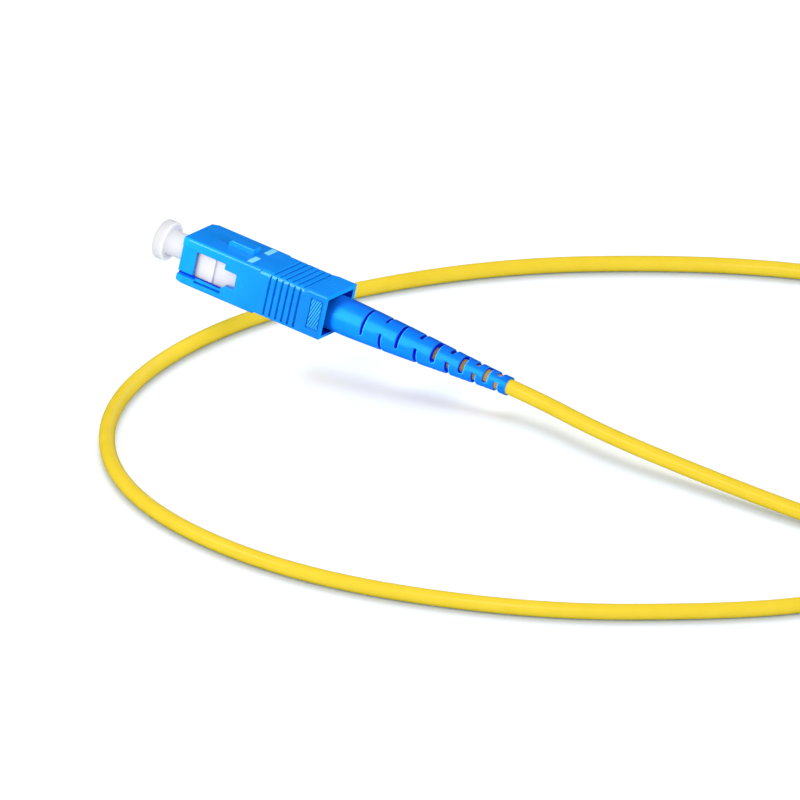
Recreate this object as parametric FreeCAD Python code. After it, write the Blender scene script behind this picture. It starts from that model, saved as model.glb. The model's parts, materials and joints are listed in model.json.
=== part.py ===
import FreeCAD, Part
import math
import os

os.makedirs("parts", exist_ok=True)
V = FreeCAD.Vector

# Simplex single-mode patch cable with a push-pull square plug on each end.
# Millimetres.  Row frame: X across the cable loop, Y away from the loop's
# front run, Z up, floor at Z = 0.
#
# Plug frame: x runs from the grip's front edge to its rear, y across the plug
# (negative y is the side that shows most), z up, x axis = ferrule axis.

# ---------------------------------------------------------------- plug: grip
GRIP_X0 = -0.4            # outer grip's front edge
GRIP_LEN = 25.3           # and its rear edge
GRIP_W = 9.0              # across (y)
GRIP_H = 7.4              # high (z)
GRIP_STEP_X = 13.4        # where the finger section starts
GRIP_TOP_ROUND = 0.42     # rounding of the long top edges
GRIP_BOTTOM_BEVEL = 0.2
NOSE_LEN, NOSE_Y, NOSE_Z = 1.05, 0.27, 0.14   # lead-in at the front: length, inset across and down
FINGER_CH_Y = 0.72        # rounding of the finger section's top corners, across
FINGER_CH_Z = 1.10        # and down
FINGER_END, REAR_X = 21.3, 22.25   # the finger section runs out into the full section at the rear
CORNER_FACETS = 4
FINGER_UNDERCUT = 0.3     # finger section's underside stands this much higher
CAV_FRONT_Y, CAV_FRONT_Z = 3.45, 2.85   # half sizes of the sliding bore
CAV_REAR_Y, CAV_REAR_Z = 3.70, 2.95
CAV_STEP_X = 10.4
CHANNEL_LEN = 7.45        # latch channel in each side face
CHANNEL_DEPTH = 0.42
CHANNEL_TOP = 2.25
CHANNEL_LOW_FRONT = -2.45
CHANNEL_LOW = -2.85
CHANNEL_NOTCH_X = 2.75
SLIT_DEPTH, SLIT_FRONT_H, SLIT_REAR_H = 0.86, 0.50, 0.26   # deeper slit along the channel's lower edge
WIN_X0, WIN_X1, WIN_X2 = 2.15, 7.45, 9.65   # latch window
WIN_TOP, WIN_LOW = 1.95, -2.15
WIN_TOP2, WIN_LOW2 = 1.22, -1.35
KEY_X0, KEY_X1, KEY_W, KEY_H = 5.5, 9.9, 2.0, 0.85
GROOVE_X = [15.4, 16.46, 17.52, 18.58, 19.64, 20.7]
GROOVE_TOP_SHIFT = 0.35
GROOVE_MOUTH, GROOVE_FLOOR, GROOVE_DEPTH = 0.40, 0.14, 0.30
GROOVE_LOW = 0.36         # grooves end this far above the finger section's underside
LABEL_X0, LABEL_X1, LABEL_TOP, LABEL_LOW, LABEL_DEPTH = 22.75, 24.9, 2.75, -2.2, 0.16
RIB_X0, RIB_X1, RIB_Y = 13.5, 14.3, 3.5     # stop ribs inside the grip

# --------------------------------------------------------------- plug: frame
FRAME_X0, FRAME_X1 = 0.3, 17.0
FRAME_Y, FRAME_Z = 3.35, 2.75
FRAME_NOSE_Y = 3.08       # half width in front of the latch ramp
FRAME_RAMP_X0, FRAME_SHOULDER_X = 3.8, 5.2
FRAME_POCKET_Y, FRAME_POCKET_X1 = 2.86, 10.2
FRAME_BORE_R = 2.45       # front bore, takes an alignment sleeve holder
FRAME_WEB_X0, FRAME_WEB_X1, FRAME_WEB_R = 9.2, 10.2, 1.6
FRAME_REAR_R = 2.5
LUG_X0, LUG_X1, LUG_Y, LUG_Z = 12.45, 13.45, 3.65, 1.2

# --------------------------------------------------- plug: ferrule and spring
FERRULE_R = 1.25
FERRULE_TIP_X, FERRULE_END_X = -0.6, 12.6
FERRULE_TIP_BEVEL = 0.3
FLANGE_X0, FLANGE_X1, FLANGE_R = 10.25, 13.2, 2.3
FLANGE_TAIL_X1, FLANGE_TAIL_R, FLANGE_BORE_R = 15.6, 1.0, 0.48
SPRING_X0, SPRING_X1 = 13.25, 18.0
SPRING_WIRE, SPRING_MEAN_R, SPRING_TURNS = 0.45, 1.8, 4.5
FERRULE_TRAVEL = 2.0
GRIP_TRAVEL = 2.0

# ------------------------------------------------- plug: backbone, crimp, boot
BACK_X0, BACK_COLLAR_X0, BACK_COLLAR_X1, BACK_X1 = 15.7, 17.05, 19.2, 27.0
BACK_FRONT_R, BACK_COLLAR_R, BACK_TAIL_R = 2.45, 2.7, 1.7
BACK_SPRING_R, BACK_BORE_R = 2.12, 0.8
YARN_X0, YARN_X1, YARN_R = 19.7, 26.9, 2.05
CRIMP_X0, CRIMP_X1, CRIMP_X2 = 19.5, 27.3, 30.4
CRIMP_R, CRIMP_NECK_R = 2.3, 1.5
FIBRE_X0, FIBRE_X1, FIBRE_R = 13.9, 28.0, 0.45
BOOT_X0, BOOT_X1 = 19.8, 56.1
BOOT_PROFILE = [(19.8, 2.80), (27.6, 2.80), (31.0, 2.66), (37.2, 2.38), (43.4, 2.02),
                (48.25, 1.74), (52.2, 1.54), (54.9, 1.44), (56.1, 1.44)]
BOOT_SLOT_X = [31.1, 34.3, 37.2, 40.4, 43.4, 45.9, 48.25, 50.45, 52.4, 54.3]
BOOT_SLOT_W = [0.54, 0.56, 0.62, 0.66, 0.86, 0.68, 0.86, 0.68, 0.80, 0.68]
BOOT_SLOT_ARC = 137.0     # degrees, two opposite slots a ring, rings alternate
BOOT_SLOT_TURN = 7.5      # degrees, each ring's slots are turned this much towards the plug's side

# ------------------------------------------------------------- plug: dust cap
CAP_HEAD_X0, CAP_HEAD_X1, CAP_HEAD_R = -5.95, -4.15, 3.1
CAP_STEM_R, CAP_STEM_X1 = 1.95, 5.0
CAP_BORE_R, CAP_BORE_X0 = 1.27, -1.6
CAP_DISH_R, CAP_DISH_DEPTH = 2.65, 0.3

# ------------------------------------------------------------------- the cable
CABLE_D = 2.4
JACKET_START_X = 28.0     # jacket's cut end inside the crimp neck
CORD_START_X = 52.0       # from here on the jacket is the free cord

# Where the plugs lie (row frame).  Plug A: nose up, leaning, as it stands on
# its stiff cable above the loop.  Plug B: flat on its underside.
PLUG_A_HEAD, PLUG_A_PITCH, PLUG_A_ROLL = -31.85, 8.92, -7.9
ORIGIN = V(-2.467, 2.516, 0.0)            # loop centre's frame to row frame: minus this
PLUG_A_TIP = V(-20.127, 12.143, 3.9)    # boot tip centre, from the loop's centre
PLUG_B_TIP = V(64.3, 20.1, 3.7)

# Route of the free cable from plug A to the coil, from the loop's centre.
# The first two points lie on plug A's axis.
R0 = CABLE_D / 2.0
ROUTE = [(-23.568, 14.280, 4.536), (-16.854, 10.110, 3.295), (-6.589, 0.013, 2.45), (6.892, -11.914, 1.5),
         (20.87, -24.35, R0), (34.15, -35.41, R0), (36.87, -43.74, R0), (34.82, -52.27, R0),
         (28.61, -58.46, R0), (12.09, -62.40, R0), (-19.37, -62.14, R0), (-55.17, -48.23, R0),
         (-78.85, -20.36, R0), (-81.40, 12.97, R0), (-62.14, 42.82, R0), (-26.23, 61.20, R0),
         (9.66, 62.85, R0), (35.20, 56.60, R0), (51.30, 51.20, R0)]
# Coil of the length that is put away, and the run from it into plug B.
COIL_C = (45.91, 35.08)
COIL_R_OUT, COIL_R_IN, COIL_H, COIL_ROUND = 18.25, 9.55, 5.25, 1.1
TAIL = [(61.88, 40.89, 4.0), (64.90, 32.60, 4.0), (64.30, 23.00, 3.75), (64.30, 16.00, 3.70)]
TIE_ANGLE, TIE_W, TIE_T = -100.0, 5.0, 0.4


# ------------------------------------------------------------------ geometry
def box(x0, x1, y0, y1, z0, z1):
    return Part.makeBox(x1 - x0, y1 - y0, z1 - z0, V(x0, y0, z0))


def prism_x(points, x0, x1):
    """Closed (y, z) outline pulled along x."""
    w = Part.makePolygon([V(x0, y, z) for y, z in points] + [V(x0, *points[0])])
    return Part.Face(w).extrude(V(x1 - x0, 0, 0))


def frustum_x(pa, xa, pb, xb):
    """Solid between two outlines with the same number of corners."""
    wa = Part.makePolygon([V(xa, y, z) for y, z in pa] + [V(xa, *pa[0])])
    wb = Part.makePolygon([V(xb, y, z) for y, z in pb] + [V(xb, *pb[0])])
    return Part.makeLoft([wa, wb], True, True)


def prism_z(points, z0, z1):
    w = Part.makePolygon([V(x, y, z0) for x, y in points] + [V(points[0][0], points[0][1], z0)])
    return Part.Face(w).extrude(V(0, 0, z1 - z0))


def prism_y(points, y0, y1):
    w = Part.makePolygon([V(x, y0, z) for x, z in points] + [V(points[0][0], y0, points[0][1])])
    return Part.Face(w).extrude(V(0, y1 - y0, 0))


def turned(profile):
    """Closed (x, r) outline turned about the x axis."""
    w = Part.makePolygon([V(x, 0, r) for x, r in profile] + [V(profile[0][0], 0, profile[0][1])])
    return Part.Face(w).revolve(V(0, 0, 0), V(1, 0, 0), 360)


def rod(x0, x1, r):
    return Part.makeCylinder(r, x1 - x0, V(x0, 0, 0), V(1, 0, 0))


def ring(x0, x1, ri, ro):
    return rod(x0, x1, ro).cut(rod(x0 - 1, x1 + 1, ri))


def fuse(shapes):
    s = shapes[0]
    for t in shapes[1:]:
        s = s.fuse(t)
    return s.removeSplitter()


def solid(shape):
    s = shape.Solids
    assert len(s) == 1, "expected one solid, found %d" % len(s)
    assert s[0].isValid(), "solid is not valid"
    return s[0]


def grip_outline(hy, zt, zb, ry, rz, cb):
    """Section of the grip: rounded top corners, bevelled lower corners."""
    arc = [math.radians(90.0 * k / CORNER_FACETS) for k in range(CORNER_FACETS + 1)]
    corner = [(hy - ry * (1 - math.sin(a)), zt - rz * (1 - math.cos(a))) for a in arc]
    return (corner + [(hy, zb + cb), (hy - cb, zb), (-hy + cb, zb), (-hy, zb + cb)]
            + [(-y, z) for y, z in reversed(corner)])


# ---------------------------------------------------------- the plug's pieces
def make_grip():
    hw, hh = GRIP_W / 2, GRIP_H / 2
    low = -hh + FINGER_UNDERCUT
    r, cb = GRIP_TOP_ROUND, GRIP_BOTTOM_BEVEL
    front = grip_outline(hw, hh, -hh, r, r, cb)
    nose = grip_outline(hw - NOSE_Y, hh - NOSE_Z, -hh + NOSE_Z, r, r, cb)
    finger = grip_outline(hw, hh, low, FINGER_CH_Y, FINGER_CH_Z, 0.12)
    rear = grip_outline(hw, hh, low, r, r, 0.12)
    body = fuse([frustum_x(nose, GRIP_X0, front, GRIP_X0 + NOSE_LEN), prism_x(front, GRIP_X0 + NOSE_LEN, GRIP_STEP_X),
                 prism_x(finger, GRIP_STEP_X, FINGER_END), frustum_x(finger, FINGER_END, rear, REAR_X),
                 prism_x(rear, REAR_X, GRIP_LEN)])
    # key on the top face, front end ramped
    key = prism_y([(KEY_X0, hh - 0.3), (KEY_X0, hh + KEY_H - 0.35), (KEY_X0 + 0.5, hh + KEY_H),
                   (KEY_X1 - 0.12, hh + KEY_H), (KEY_X1, hh + KEY_H - 0.12), (KEY_X1, hh - 0.3)],
                  -KEY_W / 2, KEY_W / 2)
    body = body.fuse(key).removeSplitter()
    cuts = [box(-1, CAV_STEP_X, -CAV_FRONT_Y, CAV_FRONT_Y, -CAV_FRONT_Z, CAV_FRONT_Z),
            box(CAV_STEP_X, GRIP_LEN + 1, -CAV_REAR_Y, CAV_REAR_Y, -CAV_REAR_Z, CAV_REAR_Z)]
    for s in (-1, 1):
        y_in, y_out = hw - CHANNEL_DEPTH, hw + 1
        cuts.append(box(-1, CHANNEL_LEN, *sorted((s * y_in, s * y_out)), CHANNEL_LOW_FRONT, CHANNEL_TOP))
        cuts.append(box(CHANNEL_NOTCH_X, CHANNEL_LEN, *sorted((s * y_in, s * y_out)),
                        CHANNEL_LOW, CHANNEL_LOW_FRONT + 0.1))
        y_slit = sorted((s * (hw - SLIT_DEPTH), s * (hw + 1)))
        cuts.append(box(-1, CHANNEL_NOTCH_X, *y_slit, CHANNEL_LOW_FRONT, CHANNEL_LOW_FRONT + SLIT_FRONT_H))
        cuts.append(box(CHANNEL_NOTCH_X, CHANNEL_LEN, *y_slit, CHANNEL_LOW, CHANNEL_LOW + SLIT_REAR_H))
        win = [(WIN_X0, WIN_LOW), (WIN_X0, WIN_TOP), (WIN_X1, WIN_TOP), (WIN_X1, WIN_TOP2),
               (WIN_X2 - 0.2, WIN_TOP2), (WIN_X2, WIN_TOP2 - 0.2), (WIN_X2, WIN_LOW2 + 0.1),
               (WIN_X2 - 0.1, WIN_LOW2), (WIN_X1 + 0.5, WIN_LOW2), (WIN_X1, WIN_LOW2 - 0.5),
               (WIN_X1, WIN_LOW)]
        cuts.append(prism_y(win, *sorted((s * (CAV_FRONT_Y - 1.0), s * (hw + 1)))))
        cuts.append(box(LABEL_X0, LABEL_X1, *sorted((s * (hw - LABEL_DEPTH), s * (hw + 1))), LABEL_LOW, LABEL_TOP))
        for gx in GROOVE_X:
            m, f, d = GROOVE_MOUTH / 2, GROOVE_FLOOR / 2, GROOVE_DEPTH
            tri = [(gx - m, s * (hw + 0.001)), (gx - f, s * (hw - d)), (gx + f, s * (hw - d)), (gx + m, s * (hw + 0.001))]
            cuts.append(prism_z(tri, low + GROOVE_LOW, hh - FINGER_CH_Z * 0.36))
    for gx in GROOVE_X:
        gx = gx + GROOVE_TOP_SHIFT
        m, f, d = GROOVE_MOUTH / 2, GROOVE_FLOOR / 2, GROOVE_DEPTH
        top = [(gx - m, hh + 0.001), (gx - f, hh - d), (gx + f, hh - d), (gx + m, hh + 0.001)]
        cuts.append(prism_y(top, -hw + FINGER_CH_Y * 0.5, hw - FINGER_CH_Y * 0.5))
    body = body.cut(Part.makeCompound(cuts))
    for s in (-1, 1):
        ys = sorted((s * RIB_Y, s * (CAV_REAR_Y + 0.2)))
        body = body.fuse(box(RIB_X0, RIB_X1, ys[0], ys[1], -LUG_Z, LUG_Z))
    return solid(body.removeSplitter())


def make_frame():
    outline = [(FRAME_X0, -FRAME_NOSE_Y), (FRAME_RAMP_X0, -FRAME_NOSE_Y), (FRAME_SHOULDER_X, -FRAME_Y),
               (FRAME_SHOULDER_X, -FRAME_POCKET_Y), (FRAME_POCKET_X1, -FRAME_POCKET_Y), (FRAME_POCKET_X1, -FRAME_Y),
               (FRAME_X1, -FRAME_Y)]
    outline = outline + [(x, -y) for x, y in reversed(outline)]
    body = prism_z(outline, -FRAME_Z, FRAME_Z)
    body = body.fuse(box(LUG_X0, LUG_X1, -LUG_Y, LUG_Y, -LUG_Z, LUG_Z))
    body = body.cut(rod(FRAME_X0 - 1, FRAME_WEB_X0, FRAME_BORE_R))
    body = body.cut(rod(FRAME_WEB_X0 - 0.5, FRAME_WEB_X1 + 0.5, FRAME_WEB_R))
    body = body.cut(rod(FRAME_WEB_X1, FRAME_X1 + 1, FRAME_REAR_R))
    return solid(body.removeSplitter())


def make_ferrule():
    b = FERRULE_TIP_BEVEL
    return solid(turned([(FERRULE_TIP_X, 0), (FERRULE_TIP_X, 0.62), (FERRULE_TIP_X + 0.05, 0.86),
                         (FERRULE_TIP_X + b, FERRULE_R), (FERRULE_END_X, FERRULE_R), (FERRULE_END_X, 0)]))


def make_flange():
    body = turned([(FLANGE_X0, FERRULE_R + 0.005), (FLANGE_X0, FLANGE_R - 0.4), (FLANGE_X0 + 0.4, FLANGE_R),
                   (FLANGE_X1, FLANGE_R), (FLANGE_X1, FLANGE_TAIL_R), (FLANGE_TAIL_X1, FLANGE_TAIL_R),
                   (FLANGE_TAIL_X1, FLANGE_BORE_R), (FERRULE_END_X + 0.02, FLANGE_BORE_R),
                   (FERRULE_END_X + 0.02, FERRULE_R + 0.005)])
    for k in range(4):   # tuning notches
        n = box(FLANGE_X0 - 1, FLANGE_X0 + 1.6, -0.35, 0.35, FLANGE_R - 0.45, FLANGE_R + 1)
        n.rotate(V(0, 0, 0), V(1, 0, 0), 90 * k)
        body = body.cut(n)
    return solid(body)


def make_spring():
    r = SPRING_WIRE / 2
    length = SPRING_X1 - SPRING_X0 - SPRING_WIRE
    n = int(16 * SPRING_TURNS)
    points = []
    for k in range(n + 1):
        a = 2 * math.pi * SPRING_TURNS * k / n
        points.append(V(SPRING_X0 + r + length * k / n, SPRING_MEAN_R * math.sin(a), SPRING_MEAN_R * math.cos(a)))
    wire = Part.BSplineCurve()
    wire.interpolate(points)
    first = wire.FirstParameter
    circ = Part.Wire(Part.makeCircle(r, wire.value(first), wire.tangent(first)[0]))
    return solid(Part.Wire([wire.toShape()]).makePipeShell([circ], True, False))


def make_backbone():
    body = turned([(BACK_X0, BACK_SPRING_R), (BACK_X0, BACK_FRONT_R), (BACK_COLLAR_X0, BACK_FRONT_R),
                   (BACK_COLLAR_X0, BACK_COLLAR_R), (BACK_COLLAR_X1, BACK_COLLAR_R), (BACK_COLLAR_X1, BACK_TAIL_R),
                   (BACK_X1, BACK_TAIL_R), (BACK_X1, BACK_BORE_R), (SPRING_X1 + 0.02, BACK_BORE_R),
                   (SPRING_X1 + 0.02, BACK_SPRING_R)])
    return solid(body)


def make_crimp():
    return solid(turned([(CRIMP_X0, YARN_R + 0.01), (CRIMP_X0, CRIMP_R), (CRIMP_X1, CRIMP_R),
                         (CRIMP_X1 + 0.5, CRIMP_NECK_R), (CRIMP_X2, CRIMP_NECK_R), (CRIMP_X2, R0 + 0.01),
                         (CRIMP_X1 + 0.3, R0 + 0.01), (CRIMP_X1, YARN_R + 0.01)]))


def make_boot():
    bore = R0 + 0.02
    outer = BOOT_PROFILE
    inner = [(BOOT_X1, bore), (31.2, bore), (30.5, CRIMP_NECK_R + 0.02), (CRIMP_X1 + 0.55, CRIMP_NECK_R + 0.02),
             (CRIMP_X1 + 0.05, CRIMP_R + 0.02), (BOOT_X0, CRIMP_R + 0.02)]
    body = turned(outer + inner)
    cuts = []
    for i, (x, w) in enumerate(zip(BOOT_SLOT_X, BOOT_SLOT_W)):
        centre = 45.0 - BOOT_SLOT_TURN if i % 2 == 0 else 135.0 + BOOT_SLOT_TURN
        for c in (centre, centre + 180.0):
            s = Part.makeCylinder(4.0, w, V(0, 0, 0), V(0, 0, 1), BOOT_SLOT_ARC)
            s.rotate(V(0, 0, 0), V(0, 0, 1), c - BOOT_SLOT_ARC / 2)
            s.rotate(V(0, 0, 0), V(0, 1, 0), 90)
            s.translate(V(x - w / 2, 0, 0))
            cuts.append(s)
    body = body.cut(Part.makeCompound(cuts))
    return solid(body)


def make_cap():
    x0, x1, r = CAP_HEAD_X0, CAP_HEAD_X1, CAP_HEAD_R
    return solid(turned([(x0, 0), (x0, r - 0.35), (x0 + 0.1, r - 0.12), (x0 + 0.35, r), (x1 - 0.2, r), (x1, r - 0.2),
                         (x1, CAP_DISH_R), (x1 - CAP_DISH_DEPTH, CAP_DISH_R - 0.15), (x1 - CAP_DISH_DEPTH, CAP_STEM_R),
                         (CAP_STEM_X1 - 0.2, CAP_STEM_R), (CAP_STEM_X1, CAP_STEM_R - 0.2), (CAP_STEM_X1, CAP_BORE_R + 0.15),
                         (CAP_STEM_X1 - 0.15, CAP_BORE_R), (CAP_BORE_X0, CAP_BORE_R), (CAP_BORE_X0 - 0.3, 0)]))


def plug_pieces():
    return {
        "dust_cap": make_cap(),
        "grip_housing": make_grip(),
        "plug_frame": make_frame(),
        "ferrule": make_ferrule(),
        "ferrule_flange": make_flange(),
        "ferrule_spring": make_spring(),
        "backbone": make_backbone(),
        "aramid_yarn": solid(ring(YARN_X0, YARN_X1, BACK_TAIL_R + 0.01, YARN_R)),
        "crimp_sleeve": make_crimp(),
        "buffered_fibre": rod(FIBRE_X0, FIBRE_X1, FIBRE_R),
        "boot": make_boot(),
        "jacket_end": rod(JACKET_START_X, CORD_START_X, R0),
    }


def placement(tip, head, pitch, roll):
    """Plug frame to row frame, with the boot tip's centre at tip."""
    rot = FreeCAD.Rotation(V(0, 0, 1), head).multiply(FreeCAD.Rotation(V(0, 1, 0), pitch)).multiply(
        FreeCAD.Rotation(V(1, 0, 0), roll))
    base = tip - rot.multVec(V(BOOT_X1, 0, 0))
    return FreeCAD.Placement(base, rot)


# ------------------------------------------------------------------ cable tube
def tube(points, r):
    """Tube along straight runs joined by tangent arcs; prints the arcs."""
    pts = [V(*p) for p in points]
    edges, length = [], 0.0
    last = pts[0]
    for i in range(1, len(pts) - 1):
        a, b, c = pts[i - 1], pts[i], pts[i + 1]
        u, w = (b - a), (c - b)
        lu, lw = u.Length, w.Length
        u.normalize(), w.normalize()
        turn = math.acos(max(-1.0, min(1.0, u.dot(w))))
        t = 0.45 * min(lu, lw)
        rad = t / math.tan(turn / 2)
        p, q = b - u * t, b + w * t
        bis = (w - u)
        bis.normalize()
        mid = b + bis * (rad / math.cos(turn / 2) - rad)
        edges.append(Part.makeLine(last, p))
        edges.append(Part.Arc(p, mid, q).toShape())
        length += (p - last).Length + rad * turn
        last = q
        print("  point %d: run %.1f, turn %.1f deg, arc radius %.1f" % (i, lu, math.degrees(turn), rad))
    edges.append(Part.makeLine(last, pts[-1]))
    length += (pts[-1] - last).Length
    wire = Part.Wire(edges)
    d = pts[1] - pts[0]
    circ = Part.Wire(Part.makeCircle(r, pts[0], d))
    s = solid(wire.makePipeShell([circ], True, False))
    want = math.pi * r * r * length
    print("  tube length %.1f, volume %.1f, section x length %.1f" % (length, s.Volume, want))
    assert abs(s.Volume - want) < 0.01 * want
    return s, length


pieces = {}
nodes = plug_pieces()
for tag, tip, head, pitch, roll in (("a", PLUG_A_TIP, PLUG_A_HEAD, PLUG_A_PITCH, PLUG_A_ROLL),
                                    ("b", PLUG_B_TIP, 90.0, 0.0, 0.0)):
    pl = placement(tip, head, pitch, roll)
    print("plug", tag, "axis", pl.Rotation.multVec(V(1, 0, 0)), "up", pl.Rotation.multVec(V(0, 0, 1)),
          "front", pl.multVec(V(0, 0, 0)) - ORIGIN)
    for name, s in nodes.items():
        c = s.copy()
        c.Placement = pl.multiply(c.Placement)
        pieces[name + "_" + tag] = c

print("cable from plug A to the coil")
run, run_len = tube(ROUTE, R0)
print("cable from the coil to plug B")
tail, tail_len = tube(TAIL, R0)
cx, cy = COIL_C
c = COIL_ROUND
sec = [(COIL_R_IN + c, 0), (COIL_R_OUT - c, 0), (COIL_R_OUT, c), (COIL_R_OUT, COIL_H - c), (COIL_R_OUT - c, COIL_H),
       (COIL_R_IN + c, COIL_H), (COIL_R_IN, COIL_H - c), (COIL_R_IN, c)]
w = Part.makePolygon([V(cx + r, cy, z) for r, z in sec] + [V(cx + sec[0][0], cy, sec[0][1])])
coil = Part.Face(w).revolve(V(cx, cy, 0), V(0, 0, 1), 360)
# tie: a flat band round the coil's section
tie = box(COIL_R_IN - 0.45 - TIE_T, COIL_R_OUT + 0.1 + TIE_T, -TIE_W / 2, TIE_W / 2, 0.0, COIL_H + 0.1 + TIE_T)
tie = tie.cut(box(COIL_R_IN - 0.45, COIL_R_OUT + 0.1, -TIE_W, TIE_W, TIE_T, COIL_H + 0.1))
tie.rotate(V(0, 0, 0), V(0, 0, 1), TIE_ANGLE)
tie.translate(V(cx, cy, 0))
coil = coil.cut(tie).cut(run).cut(tail)
pieces["cable_jacket"] = run
pieces["cable_coil"] = solid(coil)
pieces["cable_tail"] = tail
pieces["coil_tie"] = solid(tie)

for s in pieces.values():
    s.translate(V(0, 0, 0) - ORIGIN)

CORD = ("cable_jacket", "cable_coil", "cable_tail", "coil_tie")
lo, hi = [1e9] * 3, [-1e9] * 3
for name, s in pieces.items():
    assert s.isValid(), name
    s.exportStep(os.path.join("parts", name + ".step"))
    if name in CORD:
        continue
    for p in s.tessellate(0.02)[0]:
        for k in range(3):
            lo[k], hi[k] = min(lo[k], p[k]), max(hi[k], p[k])
print("plugs' box", [round(v, 3) for v in lo], [round(v, 3) for v in hi],
      "centre", [round((a + b) / 2, 3) for a, b in zip(lo, hi)])
print("%d pieces" % len(pieces))
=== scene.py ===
import json
import math

import bmesh
import bpy
from mathutils import Matrix, Vector


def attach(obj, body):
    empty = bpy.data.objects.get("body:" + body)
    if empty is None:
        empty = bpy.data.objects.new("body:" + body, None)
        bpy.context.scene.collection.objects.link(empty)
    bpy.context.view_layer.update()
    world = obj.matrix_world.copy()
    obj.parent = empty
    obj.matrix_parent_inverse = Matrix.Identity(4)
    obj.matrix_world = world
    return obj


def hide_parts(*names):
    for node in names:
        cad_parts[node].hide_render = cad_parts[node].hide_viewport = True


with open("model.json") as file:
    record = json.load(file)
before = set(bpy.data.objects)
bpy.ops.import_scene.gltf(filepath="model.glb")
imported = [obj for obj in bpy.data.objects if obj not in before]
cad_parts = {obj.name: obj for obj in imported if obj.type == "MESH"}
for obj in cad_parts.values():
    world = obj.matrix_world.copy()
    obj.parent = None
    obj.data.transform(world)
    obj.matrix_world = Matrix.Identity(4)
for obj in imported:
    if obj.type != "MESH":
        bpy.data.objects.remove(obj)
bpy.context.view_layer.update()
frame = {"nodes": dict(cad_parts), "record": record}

MM = 0.001
# All places below are in millimetres from the loop's centre; SHIFT brings them
# into the part's frame.
SHIFT = Vector((2.467, -2.516, 0.0))
scene = bpy.context.scene
nodes = frame["nodes"]

# ------------------------------------------------------------------- the camera
# Long lens, 25 degrees above the floor, looking along +Y.
ELEV = math.radians(25.0)
FRAME_W = 0.11983
LENS, SENSOR = 1000.0, 36.0
target = (Vector((-36.55, 13.19, 1.2)) + SHIFT) * MM
dist = FRAME_W * LENS / SENSOR
cam_data = bpy.data.cameras.new("camera")
cam_data.type = "PERSP"
cam_data.lens = LENS
cam_data.sensor_width = SENSOR
cam_data.clip_start, cam_data.clip_end = 0.1, 50.0
cam = bpy.data.objects.new("camera", cam_data)
scene.collection.objects.link(cam)
back = Vector((0.0, -math.cos(ELEV), math.sin(ELEV)))
cam.location = target + back * dist
cam.rotation_mode = "QUATERNION"
cam.rotation_quaternion = (-back).to_track_quat("-Z", "Y")
scene.camera = cam

# --------------------------------------------------------------------- the cable
# Route points of the free cable, from plug A round the loop to the coil.
CABLE_D = 2.4
ROUTE = [(-23.568, 14.280, 4.536), (-16.854, 10.110, 3.295), (-6.589, -2.37, 3.10), (6.892, -13.74, 2.15),
         (20.87, -25.46, 1.6), (34.15, -35.41, 1.2), (36.87, -43.74, 1.2), (34.82, -52.27, 1.2),
         (28.61, -56.60, 1.2), (12.09, -60.40, 1.2), (-19.37, -60.35, 1.2), (-55.17, -46.80, 1.2),
         (-78.95, -19.75, 1.2), (-81.40, 12.97, 1.2), (-62.14, 42.82, 1.2), (-26.23, 61.20, 1.2),
         (9.66, 62.85, 1.2), (35.20, 56.60, 1.2)]
TAIL = [(64.90, 32.60, 4.0), (64.30, 23.00, 3.75), (64.30, 16.00, 3.70)]
COIL_C = (45.91, 35.08)
COIL_POINTS = 62
COIL_FIRST, COIL_STEP = 56.5, -29.86
COIL_R, COIL_PITCH = 17.0, 2.4


def coil_points():
    """Two layers of turns: inwards on the floor layer, then outwards on top."""
    pts = []
    half = (COIL_POINTS - 1) * abs(COIL_STEP) / 360.0 / 2.0
    for k in range(COIL_POINTS):
        a = math.radians(COIL_FIRST + COIL_STEP * k)
        turns = k * abs(COIL_STEP) / 360.0
        r = COIL_R - COIL_PITCH * (turns if turns < half else 2.0 * half - turns)
        rise = min(1.0, max(0.0, (turns - half + 0.12) / 0.25))
        z = 1.6 + 2.4 * rise
        r = r / math.cos(math.radians(15.0))
        pts.append((COIL_C[0] + r * math.cos(a), COIL_C[1] + r * math.sin(a), z))
    return pts


cord_points = [(Vector(p) + SHIFT) * MM for p in ROUTE + coil_points() + TAIL]
curve = bpy.data.curves.new("cable", "CURVE")
curve.dimensions = "3D"
spline = curve.splines.new("NURBS")
spline.points.add(len(cord_points) - 1)
for p, q in zip(spline.points, cord_points):
    p.co = (q.x, q.y, q.z, 1.0)
spline.order_u = 3
spline.use_endpoint_u = True
spline.resolution_u = 12
curve.bevel_depth = CABLE_D / 2 * MM
curve.bevel_resolution = 8
curve.use_fill_caps = True
cable = bpy.data.objects.new("cable", curve)
scene.collection.objects.link(cable)

# ------------------------------------------------------------------- plug frames
# Each plug: x from the grip's front to its rear, y across, z up.
PLUG = {}
for tag, front, ax, up in (
        ("a", (-67.2038, 41.3888, 12.5986), (0.8391593, -0.5213152, -0.1550552), (0.2029881, 0.0357042, 0.9785300)),
        ("b", (64.3, -36.0, 3.7), (0.0, 1.0, 0.0), (0.0, 0.0, 1.0))):
    x, z = Vector(ax).normalized(), Vector(up).normalized()
    y = z.cross(x)
    m = Matrix((x, y, z)).transposed().to_4x4()
    PLUG[tag] = Matrix.Translation((Vector(front) + SHIFT) * MM) @ m


# ---------------------------------------------------------------------- materials
def material(name, color, rough, spec=0.5, **sockets):
    m = bpy.data.materials.new(name)
    m.use_nodes = True
    nt = m.node_tree
    b = nt.nodes["Principled BSDF"]
    b.inputs["Base Color"].default_value = (*color, 1.0)
    b.inputs["Roughness"].default_value = rough
    b.inputs["Specular IOR Level"].default_value = spec
    for k, v in sockets.items():
        b.inputs[k.replace("_", " ")].default_value = v
    return m, nt, b


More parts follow.
